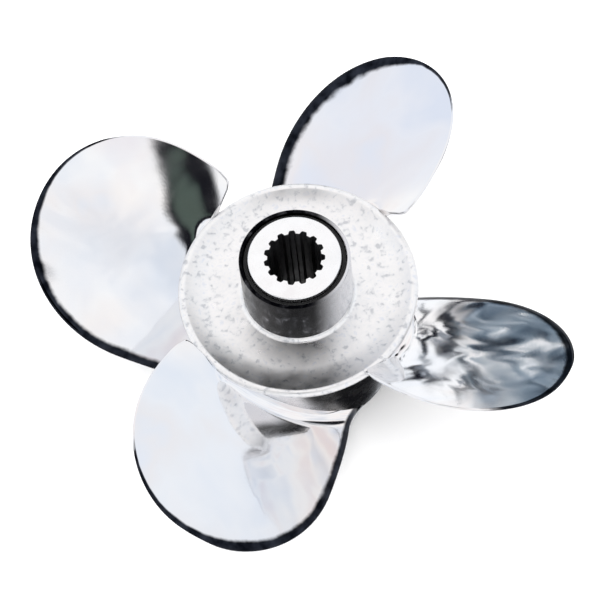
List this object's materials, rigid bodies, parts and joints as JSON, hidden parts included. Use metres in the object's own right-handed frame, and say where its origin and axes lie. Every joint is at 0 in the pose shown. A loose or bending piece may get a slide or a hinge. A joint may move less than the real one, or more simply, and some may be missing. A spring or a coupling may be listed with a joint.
{
  "type": "boat propeller",
  "caption": "Polished stainless boat propeller with rounded, overlapping-root blades on a tapered hub and a rubber-mounted splined sleeve that drives it from the shaft.",
  "frame": {"origin": "centre of the hub's forward end, on the shaft axis, which is the bottom centre of the part", "axes": "+Z along the shaft axis, pointing aft, out of the splined boss. +X and +Y are across the shaft, with blade_1's middle 16.2 degrees clockwise of +X seen from aft."},
  "size_m": [0.3172, 0.3172, 0.111],
  "materials": {
    "polished_steel": "mirror-polished stainless steel",
    "sleeve_steel": "fine-turned steel",
    "rubber": "matt moulded rubber"
  },
  "bodies": {
    "propeller": {"hub_barrel": "polished_steel", "flared_ring": "polished_steel", "aft_web": "polished_steel", "inner_hub": "polished_steel", "hub_rib_1": "polished_steel", "hub_rib_2": "polished_steel", "hub_rib_3": "polished_steel", "hub_rib_4": "polished_steel", "blade_1": "polished_steel", "blade_2": "polished_steel", "blade_3": "polished_steel", "blade_4": "polished_steel", "rubber_bush": "rubber"},
    "sleeve": {"splined_sleeve": "sleeve_steel"}
  },
  "joints": [
    {"name": "sleeve_twist", "type": "hinge", "parent": "propeller", "child": "sleeve", "pos_m": [0, 0, 0.055], "axis": [0, 0, 1], "range_deg": [-8, 8], "stiffness_Nm_per_rad": 600}
  ]
}
